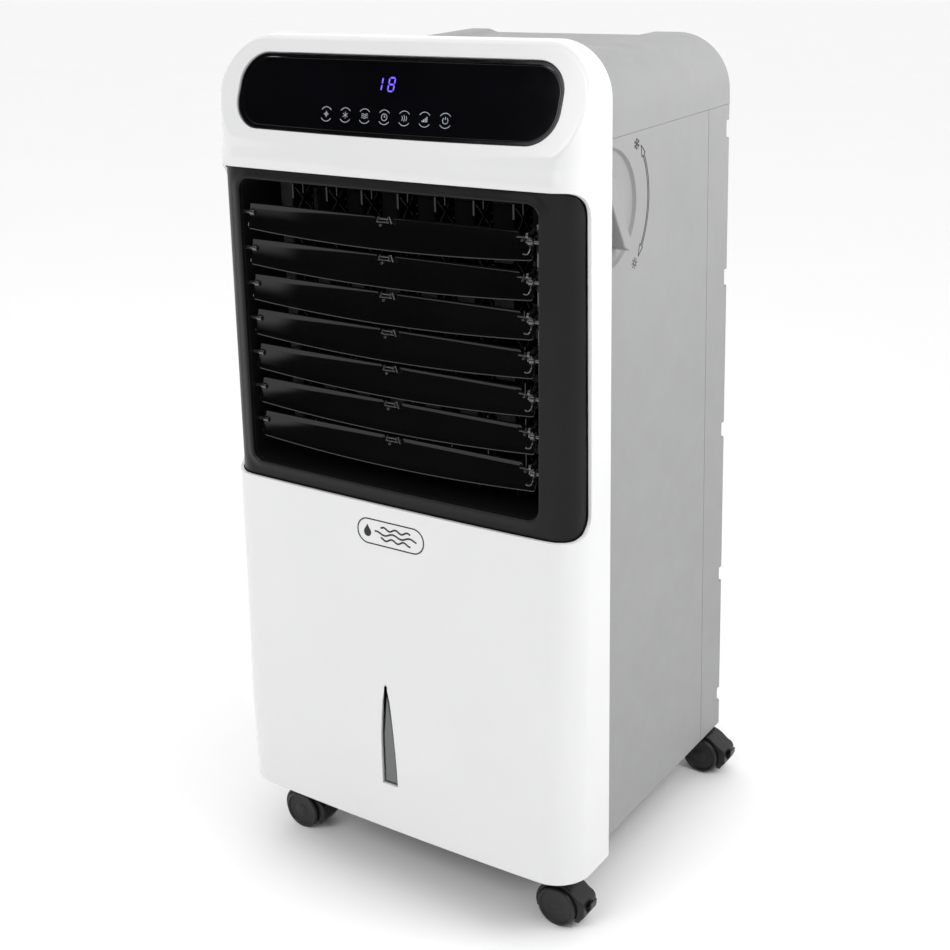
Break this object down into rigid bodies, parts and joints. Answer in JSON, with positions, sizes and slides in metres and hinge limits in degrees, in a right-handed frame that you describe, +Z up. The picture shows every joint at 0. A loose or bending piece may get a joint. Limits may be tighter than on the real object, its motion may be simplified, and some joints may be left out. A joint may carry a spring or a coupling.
{
  "type": "evaporative air cooler",
  "caption": "Upright evaporative air cooler on swivel castors with a bowed white front, glass touch strip, tilting louvres, side mode dial and a pull-out rear water tank.",
  "frame": {"origin": "centre of the bounding box, on the floor under the castors", "axes": "+Z up, -Y is the front with the louvres and touch strip, +X is the side with the mode dial"},
  "size_m": [0.397, 0.395, 0.836],
  "materials": {
    "white_gloss": "glossy moulded shell",
    "grey_satin": "fine moulded texture",
    "charcoal": "satin",
    "black_gloss": "high gloss",
    "smoke": "smoked translucent lens",
    "castor_black": "satin moulded nylon",
    "tank_grey": "smooth moulded",
    "fan_grey": "moulded",
    "steel": "plated sheet and motor can",
    "aluminium": "finned heater frame",
    "pad_brown": "corrugated cellulose",
    "board_green": "lacquered circuit board",
    "mesh_black": "fine mesh and soft tube"
  },
  "bodies": {
    "chassis": {"base_pan": "charcoal", "front_fascia": "white_gloss", "louvre_surround": "charcoal", "outlet_tunnel": "charcoal", "control_glass": "black_gloss", "control_board": "board_green", "level_window": "smoke", "side_panel_left": "grey_satin", "side_panel_right": "grey_satin", "top_cover": "grey_satin", "rear_housing": "grey_satin", "cord_gland": "castor_black", "fan_shroud": "charcoal", "fan_motor": "steel", "motor_bracket": "steel", "divider_plate": "charcoal", "swing_motor": "steel", "ptc_heater": "aluminium", "cooling_pad": "pad_brown", "water_distributor": "tank_grey", "pump_riser": "mesh_black", "pump": "castor_black"},
    "blade_1": {"louvre_blade_1": "black_gloss"},
    "blade_2": {"louvre_blade_2": "black_gloss"},
    "blade_3": {"louvre_blade_3": "black_gloss"},
    "blade_4": {"louvre_blade_4": "black_gloss"},
    "blade_5": {"louvre_blade_5": "black_gloss"},
    "blade_6": {"louvre_blade_6": "black_gloss"},
    "blade_7": {"louvre_blade_7": "black_gloss"},
    "blade_link": {"louvre_link": "charcoal"},
    "vane_body_1": {"vane_1": "charcoal"},
    "vane_body_2": {"vane_2": "charcoal"},
    "vane_body_3": {"vane_3": "charcoal"},
    "vane_body_4": {"vane_4": "charcoal"},
    "vane_body_5": {"vane_5": "charcoal"},
    "vane_body_6": {"vane_6": "charcoal"},
    "vane_body_7": {"vane_7": "charcoal"},
    "vane_bar": {"vane_link": "charcoal"},
    "fan": {"fan_wheel": "fan_grey"},
    "mode_dial": {"mode_knob": "grey_satin", "damper_flap": "charcoal"},
    "tank": {"water_tank": "tank_grey"},
    "tank_handle": {"tank_pull": "castor_black"},
    "drain": {"drain_plug": "castor_black"},
    "intake": {"rear_grille": "grey_satin", "dust_filter": "mesh_black"},
    "castor_fl": {"castor_hood_fl": "castor_black"},
    "wheels_fl": {"castor_wheels_fl": "castor_black"},
    "castor_fr": {"castor_hood_fr": "castor_black"},
    "wheels_fr": {"castor_wheels_fr": "castor_black"},
    "brake_fr": {"castor_brake_fr": "castor_black"},
    "castor_rl": {"castor_hood_rl": "castor_black"},
    "wheels_rl": {"castor_wheels_rl": "castor_black"},
    "castor_rr": {"castor_hood_rr": "castor_black"},
    "wheels_rr": {"castor_wheels_rr": "castor_black"},
    "brake_rr": {"castor_brake_rr": "castor_black"}
  },
  "joints": [
    {"name": "blade_tilt_1", "type": "hinge", "parent": "chassis", "child": "blade_1", "pos_m": [-0.0025, -0.17, 0.6745], "axis": [1, 0, 0], "range_deg": [-50, 12]},
    {"name": "blade_tilt_2", "type": "hinge", "parent": "chassis", "child": "blade_2", "pos_m": [-0.0025, -0.17, 0.64], "axis": [1, 0, 0], "range_deg": [-50, 12]},
    {"name": "blade_tilt_3", "type": "hinge", "parent": "chassis", "child": "blade_3", "pos_m": [-0.0025, -0.17, 0.6055], "axis": [1, 0, 0], "range_deg": [-50, 12]},
    {"name": "blade_tilt_4", "type": "hinge", "parent": "chassis", "child": "blade_4", "pos_m": [-0.0025, -0.17, 0.571], "axis": [1, 0, 0], "range_deg": [-50, 12]},
    {"name": "blade_tilt_5", "type": "hinge", "parent": "chassis", "child": "blade_5", "pos_m": [-0.0025, -0.17, 0.5365], "axis": [1, 0, 0], "range_deg": [-50, 12]},
    {"name": "blade_tilt_6", "type": "hinge", "parent": "chassis", "child": "blade_6", "pos_m": [-0.0025, -0.17, 0.502], "axis": [1, 0, 0], "range_deg": [-50, 12]},
    {"name": "blade_tilt_7", "type": "hinge", "parent": "chassis", "child": "blade_7", "pos_m": [-0.0025, -0.17, 0.4675], "axis": [1, 0, 0], "range_deg": [-50, 12]},
    {"name": "blade_link_pivot", "type": "hinge", "parent": "blade_4", "child": "blade_link", "pos_m": [0.151, -0.15601, 0.57876], "axis": [1, 0, 0], "range_deg": [-12, 50]},
    {"name": "vane_swing_1", "type": "hinge", "parent": "chassis", "child": "vane_body_1", "pos_m": [-0.1212, -0.136, 0.57], "axis": [0, 0, 1], "range_deg": [-25, 25]},
    {"name": "vane_swing_2", "type": "hinge", "parent": "chassis", "child": "vane_body_2", "pos_m": [-0.0808, -0.136, 0.57], "axis": [0, 0, 1], "range_deg": [-25, 25]},
    {"name": "vane_swing_3", "type": "hinge", "parent": "chassis", "child": "vane_body_3", "pos_m": [-0.0404, -0.136, 0.57], "axis": [0, 0, 1], "range_deg": [-25, 25]},
    {"name": "vane_swing_4", "type": "hinge", "parent": "chassis", "child": "vane_body_4", "pos_m": [0, -0.136, 0.57], "axis": [0, 0, 1], "range_deg": [-25, 25]},
    {"name": "vane_swing_5", "type": "hinge", "parent": "chassis", "child": "vane_body_5", "pos_m": [0.0404, -0.136, 0.57], "axis": [0, 0, 1], "range_deg": [-25, 25]},
    {"name": "vane_swing_6", "type": "hinge", "parent": "chassis", "child": "vane_body_6", "pos_m": [0.0808, -0.136, 0.57], "axis": [0, 0, 1], "range_deg": [-25, 25]},
    {"name": "vane_swing_7", "type": "hinge", "parent": "chassis", "child": "vane_body_7", "pos_m": [0.1212, -0.136, 0.57], "axis": [0, 0, 1], "range_deg": [-25, 25]},
    {"name": "vane_link_pivot", "type": "hinge", "parent": "vane_body_4", "child": "vane_bar", "pos_m": [0, -0.1245, 0.7015], "axis": [0, 0, 1], "range_deg": [-25, 25]},
    {"name": "fan_spin", "type": "hinge", "parent": "chassis", "child": "fan", "pos_m": [0, -0.021, 0.56], "axis": [0, 1, 0], "continuous": true},
    {"name": "mode_turn", "type": "hinge", "parent": "chassis", "child": "mode_dial", "pos_m": [0.1725, -0.078, 0.686], "axis": [1, 0, 0], "range_deg": [0, 110]},
    {"name": "tank_slide", "type": "slide", "parent": "chassis", "child": "tank", "axis": [0, 1, 0], "range_m": [0, 0.24]},
    {"name": "tank_handle_flip", "type": "hinge", "parent": "tank", "child": "tank_handle", "pos_m": [0, 0.19114, 0.203], "axis": [-1, 0, 0], "range_deg": [0, 80]},
    {"name": "drain_pull", "type": "slide", "parent": "tank", "child": "drain", "axis": [0, 1, 0], "range_m": [0, 0.02]},
    {"name": "intake_pull", "type": "slide", "parent": "chassis", "child": "intake", "axis": [0, 1, 0], "range_m": [0, 0.05]},
    {"name": "castor_swivel_fl", "type": "hinge", "parent": "chassis", "child": "castor_fl", "pos_m": [-0.1575, -0.1482, 0.064], "axis": [0, 0, 1], "continuous": true},
    {"name": "wheel_spin_fl", "type": "hinge", "parent": "castor_fl", "child": "wheels_fl", "pos_m": [-0.1495, -0.1482, 0.0205], "axis": [0, 1, 0], "continuous": true},
    {"name": "castor_swivel_fr", "type": "hinge", "parent": "chassis", "child": "castor_fr", "pos_m": [0.1575, -0.1482, 0.064], "axis": [0, 0, 1], "continuous": true},
    {"name": "wheel_spin_fr", "type": "hinge", "parent": "castor_fr", "child": "wheels_fr", "pos_m": [0.1655, -0.1482, 0.0205], "axis": [0, 1, 0], "continuous": true},
    {"name": "brake_press_fr", "type": "hinge", "parent": "castor_fr", "child": "brake_fr", "pos_m": [0.1902, -0.1482, 0.0225], "axis": [0, 1, 0], "range_deg": [0, 18]},
    {"name": "castor_swivel_rl", "type": "hinge", "parent": "chassis", "child": "castor_rl", "pos_m": [-0.1575, 0.176, 0.064], "axis": [0, 0, 1], "continuous": true},
    {"name": "wheel_spin_rl", "type": "hinge", "parent": "castor_rl", "child": "wheels_rl", "pos_m": [-0.1495, 0.176, 0.0205], "axis": [0, 1, 0], "continuous": true},
    {"name": "castor_swivel_rr", "type": "hinge", "parent": "chassis", "child": "castor_rr", "pos_m": [0.1575, 0.176, 0.064], "axis": [0, 0, 1], "continuous": true},
    {"name": "wheel_spin_rr", "type": "hinge", "parent": "castor_rr", "child": "wheels_rr", "pos_m": [0.1655, 0.176, 0.0205], "axis": [0, 1, 0], "continuous": true},
    {"name": "brake_press_rr", "type": "hinge", "parent": "castor_rr", "child": "brake_rr", "pos_m": [0.1902, 0.176, 0.0225], "axis": [0, 1, 0], "range_deg": [0, 18]}
  ],
  "couplings": [
    {"joint": "blade_tilt_1", "follows": "blade_tilt_4", "ratio": 1},
    {"joint": "blade_tilt_2", "follows": "blade_tilt_4", "ratio": 1},
    {"joint": "blade_tilt_3", "follows": "blade_tilt_4", "ratio": 1},
    {"joint": "blade_tilt_5", "follows": "blade_tilt_4", "ratio": 1},
    {"joint": "blade_tilt_6", "follows": "blade_tilt_4", "ratio": 1},
    {"joint": "blade_tilt_7", "follows": "blade_tilt_4", "ratio": 1},
    {"joint": "blade_link_pivot", "follows": "blade_tilt_4", "ratio": -1},
    {"joint": "vane_swing_1", "follows": "vane_swing_4", "ratio": 1},
    {"joint": "vane_swing_2", "follows": "vane_swing_4", "ratio": 1},
    {"joint": "vane_swing_3", "follows": "vane_swing_4", "ratio": 1},
    {"joint": "vane_swing_5", "follows": "vane_swing_4", "ratio": 1},
    {"joint": "vane_swing_6", "follows": "vane_swing_4", "ratio": 1},
    {"joint": "vane_swing_7", "follows": "vane_swing_4", "ratio": 1},
    {"joint": "vane_link_pivot", "follows": "vane_swing_4", "ratio": -1}
  ]
}
